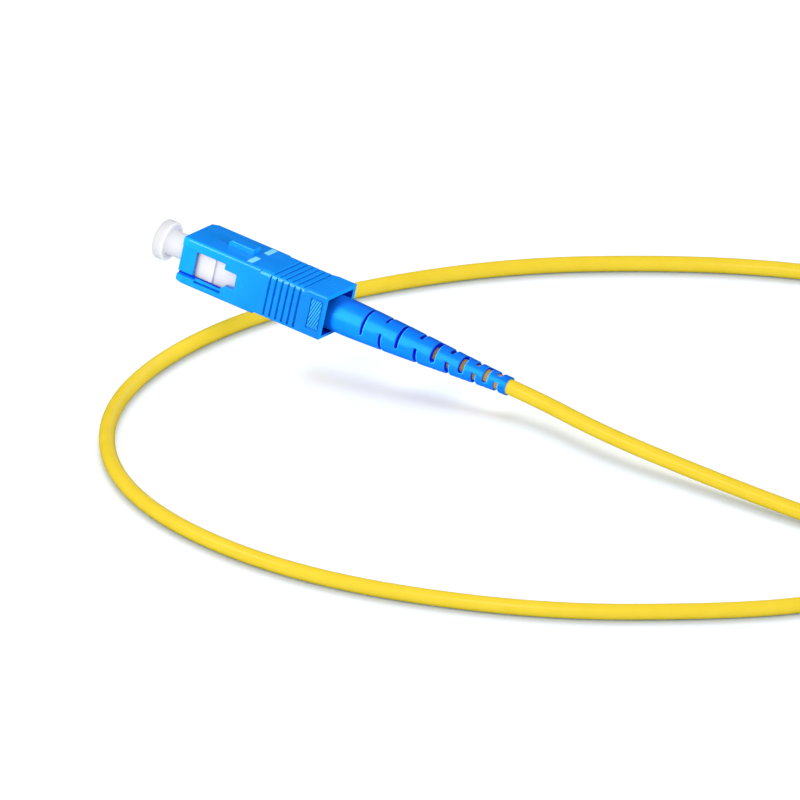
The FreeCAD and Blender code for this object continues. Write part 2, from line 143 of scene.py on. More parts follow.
def coords(nt, scale=(1.0, 1.0, 1.0)):
    tc = nt.nodes.new("ShaderNodeTexCoord")
    mp = nt.nodes.new("ShaderNodeMapping")
    mp.inputs["Scale"].default_value = scale
    nt.links.new(tc.outputs["Object"], mp.inputs["Vector"])
    return mp.outputs["Vector"]


def noise(nt, vec, scale, detail=3.0, rough=0.55):
    n = nt.nodes.new("ShaderNodeTexNoise")
    n.inputs["Scale"].default_value = scale
    n.inputs["Detail"].default_value = detail
    n.inputs["Roughness"].default_value = rough
    nt.links.new(vec, n.inputs["Vector"])
    return n.outputs["Fac"]


def vary_color(nt, b, fac, low, high, lo=0.3, hi=0.7):
    r = nt.nodes.new("ShaderNodeValToRGB")
    r.color_ramp.elements[0].position, r.color_ramp.elements[1].position = lo, hi
    r.color_ramp.elements[0].color = (*low, 1.0)
    r.color_ramp.elements[1].color = (*high, 1.0)
    nt.links.new(fac, r.inputs["Fac"])
    nt.links.new(r.outputs["Color"], b.inputs["Base Color"])


def vary_rough(nt, b, fac, low, high):
    mr = nt.nodes.new("ShaderNodeMapRange")
    mr.inputs["From Min"].default_value, mr.inputs["From Max"].default_value = 0.3, 0.7
    mr.inputs["To Min"].default_value, mr.inputs["To Max"].default_value = low, high
    nt.links.new(fac, mr.inputs["Value"])
    nt.links.new(mr.outputs["Result"], b.inputs["Roughness"])


def bump(nt, b, fac, strength, dist):
    bp = nt.nodes.new("ShaderNodeBump")
    bp.inputs["Strength"].default_value = strength
    bp.inputs["Distance"].default_value = dist
    nt.links.new(fac, bp.inputs["Height"])
    nt.links.new(bp.outputs["Normal"], b.inputs["Normal"])


def moulded(name, low, high, r_lo, r_hi, grain, grain_mm, **sockets):
    """Moulded plastic: faint flow variation in colour and gloss, fine grain."""
    m, nt, b = material(name, high, r_lo, **sockets)
    v = coords(nt)
    slow = noise(nt, v, 260.0, 2.0)
    fine = noise(nt, v, 1.0 / (grain_mm * MM), 3.0)
    vary_color(nt, b, slow, low, high)
    vary_rough(nt, b, slow, r_lo, r_hi)
    bump(nt, b, fine, 1.0, grain * MM)
    return m


MAT = {}
MAT["housing_blue"] = moulded("housing_blue", (0.0020, 0.158, 0.555), (0.0026, 0.170, 0.600), 0.22, 0.29, 0.0025, 0.16, spec=0.18)
# painted shade: darker blue for the faces inside the grip's cavity
MAT["housing_inside"] = moulded("housing_inside", (0.0006, 0.020, 0.33), (0.0008, 0.025, 0.38), 0.40, 0.50, 0.003, 0.20, spec=0.05)
MAT["boot_blue"] = moulded("boot_blue", (0.0008, 0.129, 0.69), (0.0011, 0.141, 0.75), 0.26, 0.34, 0.003, 0.20, spec=0.08)
# painted shade: darker blue for the boot's bore and the walls and floors of its slots
MAT["boot_inside"] = moulded("boot_inside", (0.0006, 0.026, 0.62), (0.0008, 0.032, 0.70), 0.45, 0.55, 0.003, 0.20, spec=0.05)
# painted highlight: paler blue on the lips and bevelled rims of the boot's slots
MAT["boot_lip"] = moulded("boot_lip", (0.012, 0.235, 0.80), (0.016, 0.265, 0.86), 0.30, 0.40, 0.003, 0.20, spec=0.18)
# painted highlight: paler blue on the ribs in the pocket at the rear of each side
MAT["pocket_blue"] = moulded("pocket_blue", (0.020, 0.310, 0.72), (0.024, 0.340, 0.78), 0.30, 0.38, 0.0025, 0.16, spec=0.18)
MAT["mark_pale"] = moulded("mark_pale", (0.12, 0.44, 0.74), (0.14, 0.48, 0.78), 0.45, 0.55, 0.002, 0.12, spec=0.2)
MAT["frame_white"] = moulded("frame_white", (0.83, 0.825, 0.85), (0.87, 0.865, 0.89), 0.34, 0.42, 0.002, 0.15, spec=0.3)
MAT["cap_translucent"] = moulded("cap_translucent", (0.77, 0.77, 0.78), (0.81, 0.81, 0.82), 0.30, 0.40, 0.003, 0.30, spec=0.35,
                                 Subsurface_Weight=0.35, Subsurface_Radius=(0.0010, 0.0010, 0.0011), Subsurface_Scale=1.0)
MAT["ceramic_white"] = moulded("ceramic_white", (0.82, 0.80, 0.76), (0.86, 0.845, 0.81), 0.10, 0.16, 0.0004, 0.05)
MAT["nickel"] = moulded("nickel", (0.56, 0.54, 0.50), (0.62, 0.60, 0.56), 0.20, 0.30, 0.001, 0.08, Metallic=1.0)
MAT["spring_steel"] = moulded("spring_steel", (0.46, 0.46, 0.47), (0.55, 0.55, 0.56), 0.28, 0.38, 0.001, 0.05, Metallic=1.0)
MAT["crimp_metal"] = moulded("crimp_metal", (0.58, 0.58, 0.59), (0.66, 0.66, 0.67), 0.34, 0.46, 0.002, 0.10, Metallic=1.0)
MAT["buffer_white"] = moulded("buffer_white", (0.78, 0.78, 0.76), (0.84, 0.84, 0.82), 0.40, 0.50, 0.002, 0.10)
MAT["aramid"] = moulded("aramid", (0.62, 0.45, 0.10), (0.76, 0.58, 0.18), 0.60, 0.75, 0.02, 0.06)
MAT["jacket_yellow"] = moulded("jacket_yellow", (0.895, 0.648, 0.017), (0.935, 0.688, 0.022), 0.30, 0.38, 0.003, 0.22, spec=0.48)
# painted shade: darker orange for the yellow jacket where it lies inside the boots
MAT["jacket_inside"] = moulded("jacket_inside", (0.54, 0.285, 0.042), (0.62, 0.345, 0.058), 0.50, 0.60, 0.003, 0.22, spec=0.2)
MAT["tie_black"] = moulded("tie_black", (0.012, 0.012, 0.013), (0.030, 0.030, 0.032), 0.80, 0.95, 0.06, 0.14)

for m in frame["record"]["subparts"]:
    n, s = m["node"], m["material_slot"]
    nodes[n].data.materials.clear()
    nodes[n].data.materials.append(MAT[s])
for tag in "ab":    # the jacket inside the boot, seen through its slots, gets a darker painted-shade orange
    nodes["jacket_end_" + tag].data.materials[0] = MAT["jacket_inside"]


def paint_shade_in_boots(m, depth_x, color):
    """The cable's first millimetres, inside each boot, painted a darker orange: painted shade where the boot hides the
    jacket.
    """
    nt = m.node_tree
    b = nt.nodes["Principled BSDF"]
    plain = b.inputs["Base Color"].links[0].from_socket
    tc = nt.nodes.new("ShaderNodeTexCoord")
    fac = None
    for tag in "ab":
        mouth = PLUG[tag] @ (Vector((depth_x, 0.0, 0.0)) * MM)
        gap = nt.nodes.new("ShaderNodeVectorMath")
        gap.operation = "DISTANCE"
        gap.inputs[1].default_value = mouth - (PLUG[tag].to_3x3() @ Vector((0.004, 0.0, 0.0)))
        nt.links.new(tc.outputs["Object"], gap.inputs[0])
        near = nt.nodes.new("ShaderNodeMapRange")
        near.inputs["From Min"].default_value, near.inputs["From Max"].default_value = 0.0039, 0.0043
        near.inputs["To Min"].default_value, near.inputs["To Max"].default_value = 1.0, 0.0
        nt.links.new(gap.outputs["Value"], near.inputs["Value"])
        if fac is None:
            fac = near.outputs["Result"]
        else:
            both = nt.nodes.new("ShaderNodeMath")
            both.operation = "MAXIMUM"
            nt.links.new(fac, both.inputs[0])
            nt.links.new(near.outputs["Result"], both.inputs[1])
            fac = both.outputs["Value"]
    mix = nt.nodes.new("ShaderNodeMix")
    mix.data_type = "RGBA"
    nt.links.new(fac, mix.inputs["Factor"])
    nt.links.new(plain, mix.inputs["A"])
    mix.inputs["B"].default_value = (*color, 1.0)
    nt.links.new(mix.outputs["Result"], b.inputs["Base Color"])


# painted shade: the cable turns darker orange in its first millimetres inside each boot
paint_shade_in_boots(MAT["jacket_yellow"], 55.6, (0.58, 0.315, 0.050))
curve.materials.append(MAT["jacket_yellow"])


# -------------------------------------------------------------------- mesh helpers
def finish_mesh(name, bm, mat, smooth=34.0, weighted=True):
    bmesh.ops.recalc_face_normals(bm, faces=bm.faces)
    me = bpy.data.meshes.new(name)
    bm.to_mesh(me)
    bm.free()
    for p in me.polygons:
        p.use_smooth = True
    me.set_sharp_from_angle(angle=math.radians(smooth))
    me.materials.append(mat)
    ob = bpy.data.objects.new(name, me)
    scene.collection.objects.link(ob)
    if weighted:
        w = ob.modifiers.new("flat faces", "WEIGHTED_NORMAL")
        w.keep_sharp = True
        w.weight = 80
    return ob


def fillet(points, radii, steps=5):
    """Rounds the corners of a lathe outline; points are (x, r), radii one per point."""
    out = []
    n = len(points)
    for i, ((px, pr), rad) in enumerate(zip(points, radii)):
        if rad <= 0.0 or i in (0, n - 1):
            out.append((px, pr))
            continue
        p = Vector((px, pr))
        u = (Vector(points[i - 1]) - p)
        w = (Vector(points[(i + 1) % n]) - p)
        lu, lw = u.length, w.length
        u.normalize()
        w.normalize()
        half = math.acos(max(-1.0, min(1.0, u.dot(w)))) / 2.0
        t = min(rad / math.tan(half), 0.48 * lu, 0.48 * lw)
        r = t * math.tan(half)
        c = p + (u + w).normalized() * (r / math.sin(half))
        a0 = math.atan2((p + u * t - c).y, (p + u * t - c).x)
        a1 = math.atan2((p + w * t - c).y, (p + w * t - c).x)
        da = (a1 - a0 + math.pi) % (2.0 * math.pi) - math.pi
        for k in range(steps + 1):
            a = a0 + da * k / steps
            out.append((c.x + r * math.cos(a), c.y + r * math.sin(a)))
    return out


def lathe(name, outline, segs, frame_m, mat):
    """Turns an (x, r) outline about the plug's axis; first and last point lie on the axis."""
    bm = bmesh.new()
    rings = []
    for x, r in outline:
        if r < 1e-6:
            rings.append([bm.verts.new(frame_m @ (Vector((x, 0.0, 0.0)) * MM))])
        else:
            rings.append([bm.verts.new(frame_m @ (Vector((x, r * math.sin(2 * math.pi * k / segs),
                                                          r * math.cos(2 * math.pi * k / segs))) * MM)) for k in range(segs)])
    for a, b in zip(rings, rings[1:]):
        for k in range(segs):
            j = (k + 1) % segs
            if len(a) == 1:
                bm.faces.new((a[0], b[k], b[j]))
            elif len(b) == 1:
                bm.faces.new((a[k], b[0], a[j]))
            else:
                bm.faces.new((a[k], b[k], b[j], a[j]))
    return finish_mesh(name, bm, mat, 40.0, weighted=False)


def rounded_copy(node, name, frame_m, mat, passes, inside=None, painted_shade_mat=None, turn=32.0):
    """Copy of a rigid piece with its edges broken: each pass is a width and a test for the edges it takes."""
    bm = bmesh.new()
    bm.from_mesh(nodes[node].data)
    bmesh.ops.remove_doubles(bm, verts=bm.verts, dist=2e-6)
    bmesh.ops.dissolve_limit(bm, angle_limit=math.radians(0.4), use_dissolve_boundaries=False,
                             verts=bm.verts, edges=bm.edges)
    inv = frame_m.inverted()
    turn_m = inv.to_3x3()
    # faces picked by the inside test take the second material, a darker painted shade
    for f in bm.faces:
        f.material_index = 1 if inside and inside(inv @ f.calc_center_median() / MM, turn_m @ f.normal) else 0
    for width, test in passes:
        pick = []
        for e in bm.edges:
            if len(e.link_faces) != 2 or e.calc_face_angle(0.0) < math.radians(turn):
                continue
            a, b = inv @ e.verts[0].co / MM, inv @ e.verts[1].co / MM
            ahead = min((turn_m @ f.normal).normalized().x for f in e.link_faces)
            if (a - b).length > 1.5 * width and test(a, b, ahead):
                pick.append(e)
        bmesh.ops.bevel(bm, geom=pick, offset=width * MM, offset_type="OFFSET", segments=2, profile=0.5,
                        affect="EDGES", clamp_overlap=True, material=0)
    ob = finish_mesh(name, bm, mat)
    for p in ob.data.polygons:    # broad flat faces stay flat, only the narrow broken edges are shaded round
        pts = [ob.data.vertices[v].co for v in p.vertices]
        p.use_smooth = p.area < 0.12 * MM * sum((a - b).length for a, b in zip(pts, pts[1:] + pts[:1]))
    if painted_shade_mat:
        ob.data.materials.append(painted_shade_mat)
    return ob


# ------------------------------------------------------------------------ the boot
BOOT_PROFILE = [(19.8, 2.80), (27.6, 2.84), (31.0, 2.73), (37.2, 2.46), (43.4, 2.10),
                (48.25, 1.81), (52.2, 1.59), (54.9, 1.47), (56.1, 1.46)]
BOOT_BORE = [(19.8, 2.32), (27.35, 2.32), (27.85, 1.52), (30.5, 1.52), (31.2, 1.22), (56.1, 1.22)]
BOOT_SLOT_X = [31.1, 34.3, 37.2, 40.4, 43.4, 45.9, 48.25, 50.45, 52.4, 54.3]
BOOT_SLOT_W = [0.54, 0.56, 0.62, 0.66, 0.86, 0.68, 0.86, 0.68, 0.80, 0.68]
BOOT_SLOT_ARC, BOOT_SLOT_TURN = 137.0, 7.5
BOOT_LIP = {0: (0.12, 0.10), 1: (0.24, 0.16)}    # length and fall of the lips at each slot's front and rear edge
BOOT_BLIND = {0: 1.60, 1: 1.45, 2: 1.40, 3: 1.36}    # slots that stop short of the cable: floor radius


def along(profile, x):
    for (xa, ra), (xb, rb) in zip(profile, profile[1:]):
        if x <= xb + 1e-9:
            return ra + (rb - ra) * (x - xa) / (xb - xa)
    return profile[-1][1]


def make_boot(name, frame_m, mat, painted_shade_mat, lip_highlight_mat):
    xs = {p[0] for p in BOOT_PROFILE} | {p[0] for p in BOOT_BORE} | {22.0, 24.0, 26.0, 29.0, 33.0, 36.0, 39.0, 42.0, 45.0}
    slots = []
    for i, (x, w) in enumerate(zip(BOOT_SLOT_X, BOOT_SLOT_W)):
        w -= 0.16 if i in BOOT_BLIND else 0.06
        c = 45.0 - BOOT_SLOT_TURN if i % 2 == 0 else 135.0 + BOOT_SLOT_TURN
        slots.append((x - w / 2, x + w / 2, c, BOOT_BLIND.get(i)))
        xs = {v for v in xs if not (x - w / 2 - 0.30 < v < x + w / 2 + 0.40)}
        xs |= {x - w / 2 - BOOT_LIP[0][0], x - w / 2, x + w / 2, x + w / 2 + BOOT_LIP[1][0]}
    xs = sorted(xs)
    h = BOOT_SLOT_ARC / 2
    cuts = sorted({(c + s + d) % 360.0 for c in (45.0 - BOOT_SLOT_TURN, 135.0 + BOOT_SLOT_TURN)
                   for s in (0.0, 180.0) for d in (-h, h)})
    phis = []
    for a, b in zip(cuts, cuts[1:] + [cuts[0] + 360.0]):
        n = math.ceil((b - a) / 7.0)
        phis += [(a + (b - a) * k / n) % 360.0 for k in range(n)]
    nphi = len(phis)

    def depth(ix, ip):
        """Level that a cell reaches: 'out', a slot's floor radius, or None where it is cut through."""
        x = (xs[ix] + xs[ix + 1]) / 2
        a, b = phis[ip], phis[(ip + 1) % nphi]
        mid = math.degrees(math.atan2(math.sin(math.radians(a)) + math.sin(math.radians(b)),
                                      math.cos(math.radians(a)) + math.cos(math.radians(b))))
        for x0, x1, c, fl in slots:
            if x0 < x < x1:
                for s in (0.0, 180.0):
                    if abs((mid - c - s + 180.0) % 360.0 - 180.0) < h:
                        return fl
        return "out"

    narrow, lips = {}, {}
    for x0, x1, c, fl in slots:
        for k in range(nphi):
            for s in (0.0, 180.0):
                if abs((phis[k] - c - s + 180.0) % 360.0 - 180.0) < h - 2.0:
                    lips[(xs.index(x0), k)], lips[(xs.index(x1), k)] = BOOT_LIP[0][1], BOOT_LIP[1][1]
        for s in (0.0, 180.0):
            for d in (-h, h):
                end = min(range(nphi), key=lambda k: abs((phis[k] - c - s - d + 180.0) % 360.0 - 180.0))
                for x, t in ((x0, 0.28), (x1, 0.72)):
                    narrow[(xs.index(x), end)] = x0 + (x1 - x0) * t
    bm = bmesh.new()
    made = {}

    def vert(ix, ip, level):
        ip %= nphi
        key = (ix, ip, level)
        if key not in made:
            x = narrow.get((ix, ip), xs[ix])
            r = along(BOOT_PROFILE, x) if level == "out" else along(BOOT_BORE, x) if level == "in" else level
            if level == "out":
                r -= lips.get((ix, ip), 0.0)
            a = math.radians(phis[ip])
            made[key] = bm.verts.new(frame_m @ (Vector((x, r * math.sin(a), -r * math.cos(a))) * MM))
        return made[key]

    grid = [[depth(ix, ip) for ip in range(nphi)] for ix in range(len(xs) - 1)]
    rank = lambda v: 0 if v in (None, "in") else 2 if v == "out" else 1
    for ix in range(len(xs) - 1):
        for ip in range(nphi):
            g = grid[ix][ip]
            if g is not None:
                f = bm.faces.new((vert(ix, ip, g), vert(ix + 1, ip, g), vert(ix + 1, ip + 1, g), vert(ix, ip + 1, g)))
                on_lip = any(((i, ip) in lips) and ((i, (ip + 1) % nphi) in lips) for i in (ix, ix + 1))
                # slot floors, slot walls and the bore take material 1, a darker painted shade; lip faces take material
                # 2, a paler painted highlight
                f.material_index = 1 if g != "out" else 2 if on_lip else 0
                f = bm.faces.new((vert(ix, ip, "in"), vert(ix, ip + 1, "in"), vert(ix + 1, ip + 1, "in"), vert(ix + 1, ip, "in")))
                f.material_index = 1
            g2 = grid[ix][(ip + 1) % nphi]
            if rank(g) != rank(g2):
                lo_, hi_ = sorted((g, g2), key=rank)
                lo_ = "in" if lo_ is None else lo_
                j = ip + 1
                f = bm.faces.new((vert(ix, j, lo_), vert(ix, j, hi_), vert(ix + 1, j, hi_), vert(ix + 1, j, lo_)))
                f.material_index = 1
            if ix + 1 < len(xs) - 1:
                g3 = grid[ix + 1][ip]
                if rank(g) != rank(g3):
                    lo_, hi_ = sorted((g, g3), key=rank)
                    lo_ = "in" if lo_ is None else lo_
                    f = bm.faces.new((vert(ix + 1, ip, lo_), vert(ix + 1, ip, hi_), vert(ix + 1, ip + 1, hi_), vert(ix + 1, ip + 1, lo_)))
                    f.material_index = 1
    for ix in (0, len(xs) - 1):
        for ip in range(nphi):
            bm.faces.new((vert(ix, ip, "in"), vert(ix, ip, "out"), vert(ix, ip + 1, "out"), vert(ix, ip + 1, "in")))
    outer = {v for k, v in made.items() if k[2] == "out"}
    bmesh.ops.recalc_face_normals(bm, faces=bm.faces)
    pick = [e for e in bm.edges if e.verts[0] in outer and e.verts[1] in outer
            and e.calc_face_angle(0.0) > math.radians(40.0)]
    # the bevels on the slots' outer edges take material 2, the paler painted highlight
    bmesh.ops.bevel(bm, geom=pick, offset=0.06 * MM, offset_type="OFFSET", segments=2, profile=0.5,
                    affect="EDGES", clamp_overlap=True, material=2)
    ob = finish_mesh(name, bm, mat, 28.0)
    ob.data.materials.append(painted_shade_mat)
    ob.data.materials.append(lip_highlight_mat)
    return ob


# ---------------------------------------------------------------------- the dust cap
CAP_OUTLINE = [(-6.25, 0.0, 0.0), (-6.25, 3.10, 0.42), (-4.45, 3.10, 0.25), (-4.45, 2.65, 0.08), (-4.75, 2.50, 0.10),
               (-4.75, 1.95, 0.12), (4.8, 1.95, 0.25), (4.8, 1.27, 0.12), (-1.7, 1.27, 0.1), (-2.0, 0.0, 0.0)]


# ------------------------------------------------------------- small moulded details
def slab(bm, frame_m, corners, z0, z1, axis):
    """Thin plate: corner points in a plane, pulled from z0 to z1 along the plug's y or z axis."""
    def place(u, v, h):
        p = Vector((u, v, h)) if axis == "z" else Vector((u, h, v))
        return frame_m @ (p * MM)
    low = [bm.verts.new(place(u, v, z0)) for u, v in corners]
    top = [bm.verts.new(place(u, v, z1)) for u, v in corners]
    n = len(corners)
    bm.faces.new(low[::-1])
    bm.faces.new(top)
    for k in range(n):
        j = (k + 1) % n
        bm.faces.new((low[k], low[j], top[j], top[k]))


def soft_rect(x0, x1, y0, y1, r, steps=4):
    pts = []
    for cx, cy, a0 in ((x1 - r, y1 - r, 0.0), (x0 + r, y1 - r, 90.0), (x0 + r, y0 + r, 180.0), (x1 - r, y0 + r, 270.0)):
        for k in range(steps + 1):
            a = math.radians(a0 + 90.0 * k / steps)
            pts.append((cx + r * math.cos(a), cy + r * math.sin(a)))
    return pts


def make_marks(name, frame_m, mat):
    bm = bmesh.new()
    for y0, y1 in ((-3.75, -1.1), (1.15, 3.8)):
        slab(bm, frame_m, soft_rect(10.45, 11.4, y0, y1, 0.1), 3.69, 3.73, "z")
    return finish_mesh(name, bm, mat, 30.0)


def clip_band(c, half, slope, x0, x1, z0, z1):
    """Part of a slanted band that lies inside a rectangle, as a convex outline."""
    def cut(poly, a, b, d):
        out = []
        for (px, pz), (qx, qz) in zip(poly, poly[1:] + poly[:1]):
            sp, sq = a * px + b * pz - d, a * qx + b * qz - d
            if sp <= 0:
                out.append((px, pz))
            if (sp < 0 < sq) or (sq < 0 < sp):
                t = sp / (sp - sq)
                out.append((px + (qx - px) * t, pz + (qz - pz) * t))
        return out
    poly = [(x0, z0), (x1, z0), (x1, z1), (x0, z1)]
    poly = cut(poly, -slope, 1.0, c + half)
    return cut(poly, slope, -1.0, half - c) if poly else poly


def make_ribs(name, frame_m, mat):
    """Plain slanted ribs in the pocket at the rear of each side."""
    bm = bmesh.new()
    for s in (-1.0, 1.0):
        for k in range(-8, 12):
            poly = clip_band(0.98 * k - 59.5, 0.29, 2.5, 22.95, 24.7, -2.0, 2.5)
            if len(poly) < 3:
                continue
            area_ = abs(sum(p[0] * q[1] - q[0] * p[1] for p, q in zip(poly, poly[1:] + poly[:1]))) / 2
            if area_ > 0.06:
                slab(bm, frame_m, poly, s * 4.33, s * 4.50, "y")
    bmesh.ops.recalc_face_normals(bm, faces=bm.faces)
    inv = frame_m.inverted()
    pick = [e for e in bm.edges if min(abs((inv @ v.co).y) for v in e.verts) > 4.45 * MM]
    bmesh.ops.bevel(bm, geom=pick, offset=0.06 * MM, offset_type="OFFSET", segments=2, profile=0.5, affect="EDGES",
                    clamp_overlap=True)
    return finish_mesh(name, bm, mat, 30.0)


# --------------------------------------------------------------------------- the tie
TIE_ANGLE, TIE_W, TIE_T = -100.0, 5.0, 0.36


def make_tie(name, mat):
    """Hook-and-loop strip wound once round the coil's section, its end lapped over its start."""
    r0, r1, z0, z1, c = 8.9, 18.55, 0.2, 5.55, 1.25
    path = [(11.0, z1, 0.0, 1.0), (14.0, z1, 0.0, 1.0)]
    for cr, cz, a0 in ((r1 - c, z1 - c, 90.0), (r1 - c, z0 + c, 0.0), (r0 + c, z0 + c, -90.0), (r0 + c, z1 - c, -180.0)):
        if a0 == 0.0:
            path.append((r1, (z0 + z1) / 2, 1.0, 0.0))
        if a0 == -90.0:
            path.append(((r0 + r1) / 2, z0, 0.0, -1.0))
        if a0 == -180.0:
            path.append((r0, (z0 + z1) / 2, -1.0, 0.0))
        for k in range(7):
            a = math.radians(a0 - 15.0 * k)
            lift = 0.40 * max(0.0, k - 3) / 3.0 if a0 == -180.0 else 0.0
            path.append((cr + (c + lift) * math.cos(a), cz + (c + lift) * math.sin(a), math.cos(a), math.sin(a)))
    for r, lift in ((11.5, 0.40), (13.5, 0.40), (15.2, 0.42), (16.2, 0.50)):
        path.append((r, z1 + lift, 0.0, 1.0))
    a = math.radians(TIE_ANGLE)
    out, tan = Vector((math.cos(a), math.sin(a), 0.0)), Vector((-math.sin(a), math.cos(a), 0.0))
    base = Vector((COIL_C[0], COIL_C[1], 0.0)) + SHIFT
    w, t = TIE_W / 2, TIE_T / 2
    section = [(-w, -t * 0.5), (-w + 0.12, -t), (w - 0.12, -t), (w, -t * 0.5), (w, t * 0.5), (w - 0.12, t), (-w + 0.12, t), (-w, t * 0.5)]
    bm = bmesh.new()
    rings = []
    for r, z, nr, nz in path:
        p = base + out * r + Vector((0.0, 0.0, z))
        n = out * nr + Vector((0.0, 0.0, nz))
        rings.append([bm.verts.new((p + tan * u + n * v) * MM) for u, v in section])
    for ra, rb in zip(rings, rings[1:]):
        for k in range(8):
            j = (k + 1) % 8
            bm.faces.new((ra[k], ra[j], rb[j], rb[k]))
    bm.faces.new(rings[0][::-1])
    bm.faces.new(rings[-1])
    return finish_mesh(name, bm, mat, 50.0)


def in_grooves(a, b):
    """Edges at the mouths of the finger grooves."""
    return (14.8 < min(a.x, b.x) and max(a.x, b.x) < 21.25 and (a - b).length > 0.8
            and (min(abs(a.y), abs(b.y)) > 4.2 or min(a.z, b.z) > 3.42))


made_pieces = {}
for tag in "ab":
    pm = PLUG[tag]
    grip = rounded_copy("grip_housing_" + tag, "grip_shell_" + tag, pm, MAT["housing_blue"], [
        (0.11, lambda a, b, ahead: min(a.x, b.x) > 25.25),
        (0.12, lambda a, b, ahead: min(a.z, b.z) > 3.9 and abs(a.x - b.x) > 3.0),
        (0.10, lambda a, b, ahead: max(a.z, b.z) < -3.2 and abs(a.x - b.x) > 3.0),
        (0.06, lambda a, b, ahead: max(a.x, b.x) < 10.0 and min(abs(a.y), abs(b.y)) > 3.9 and max(a.z, b.z) < 3.0
         and min(a.z, b.z) > -3.2),
        (0.08, lambda a, b, ahead: in_grooves(a, b) and ahead < -0.5),
        (0.05, lambda a, b, ahead: in_grooves(a, b) and ahead > -0.3)],
        # faces inside the cavity take the darker painted-shade blue
        inside=lambda c, n: abs(c.y) < 3.73 and abs(c.z) < 2.98 and abs(n.x) < 0.9, painted_shade_mat=MAT["housing_inside"])
    inner = rounded_copy("plug_frame_" + tag, "inner_body_" + tag, pm, MAT["frame_white"], [(0.08, lambda a, b, ahead: True)])
    cap = lathe("cap_" + tag, fillet([p[:2] for p in CAP_OUTLINE], [p[2] for p in CAP_OUTLINE]), 72, pm, MAT["cap_translucent"])
    # the boot's hollows take a darker painted shade, its slot lips and rims a paler painted highlight
    boot = make_boot("bend_boot_" + tag, pm, MAT["boot_blue"], MAT["boot_inside"], MAT["boot_lip"])
    marks = make_marks("index_marks_" + tag, pm, MAT["mark_pale"])
    # the ribs take the paler painted-highlight blue
    ribs = make_ribs("pocket_ribs_" + tag, pm, MAT["pocket_blue"])
    for ob, body, slot_name, old in (
            (grip, "grip_" + tag, "housing_blue", "grip_housing_" + tag),
            (inner, "cable_assembly", "frame_white", "plug_frame_" + tag),
            (cap, "cap_" + tag, "cap_translucent", "dust_cap_" + tag),
            (boot, "cable_assembly", "boot_blue", "boot_" + tag),
            (marks, "grip_" + tag, "housing_blue", None),
            (ribs, "grip_" + tag, "housing_blue", None)):
        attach(ob, body)
        if old:
            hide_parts(old)
        made_pieces[ob.name] = ob

tie = make_tie("tie_strap", MAT["tie_black"])
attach(tie, "cable_assembly")
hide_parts("coil_tie")

# ------------------------------------------------------------------ stage and light
floor_mesh = bpy.data.meshes.new("floor")
bm = bmesh.new()
bmesh.ops.create_grid(bm, x_segments=1, y_segments=1, size=4.0)
bm.to_mesh(floor_mesh)
bm.free()
floor = bpy.data.objects.new("floor", floor_mesh)
floor.location = (0.0, 0.0, -0.00001)
scene.collection.objects.link(floor)
fm, _, fb = material("floor_white", (0.835, 0.835, 0.835), 0.9, spec=0.0)
floor_mesh.materials.append(fm)
floor.visible_glossy = False

world = bpy.data.worlds.new("world")
scene.world = world
world.use_nodes = True
world.node_tree.nodes["Background"].inputs["Color"].default_value = (1.0, 1.0, 1.0, 1.0)
world.node_tree.nodes["Background"].inputs["Strength"].default_value = 0.94
world.cycles_visibility.glossy = False


def lit_set(name, objects):
    col = bpy.data.collections.new(name)
    for ob in objects:
        col.objects.link(ob)
    return col


def area(name, loc, aim, size, power, only=None, size_y=None, color=(1.0, 1.0, 1.0), gloss=True, shaded_by=None,
         diffuse=True):
    """Soft panel: what it lights, whether it shows as a highlight, and what casts its shadow."""
    d = bpy.data.lights.new(name, "AREA")
    d.shape = "RECTANGLE"
    d.size, d.size_y = size, size_y or size
    d.energy = power
    d.color = color
    o = bpy.data.objects.new(name, d)
    scene.collection.objects.link(o)
    o.rotation_mode = "QUATERNION"
    if isinstance(aim, Matrix):
        o.matrix_world = aim
    else:
        o.location = loc
        o.rotation_quaternion = (Vector(aim) - Vector(loc)).to_track_quat("-Z", "Y")
    o.visible_camera = False
    o.visible_glossy = gloss
    o.visible_diffuse = diffuse
    if only is not None:
        o.light_linking.receiver_collection = lit_set(name + "_lit", only)
    if shaded_by is not None:
        o.light_linking.blocker_collection = lit_set(name + "_shade", shaded_by)
    return o


def in_plug(x, y, z, tag="a"):
    return PLUG[tag] @ (Vector((x, y, z)) * MM)


named = lambda *heads, tags="ab": [o for n, o in made_pieces.items() if n.rsplit("_", 1)[0] in heads and n[-1] in tags]
boots = named("bend_boot")
# the floor, from behind
def sun(name, power, color, shaded_by):
    d = bpy.data.lights.new(name, "SUN")
    d.energy, d.color, d.angle = power, color, math.radians(36.0)
    o = bpy.data.objects.new(name, d)
    scene.collection.objects.link(o)
    o.rotation_mode = "QUATERNION"
    o.rotation_quaternion = Vector((0.0, -math.cos(math.radians(55.0)), -math.sin(math.radians(55.0)))).to_track_quat("-Z", "Y")
    o.visible_camera = o.visible_glossy = False
    o.light_linking.receiver_collection = lit_set(name + "_lit", [floor])
    o.light_linking.blocker_collection = lit_set(name + "_shade", shaded_by)


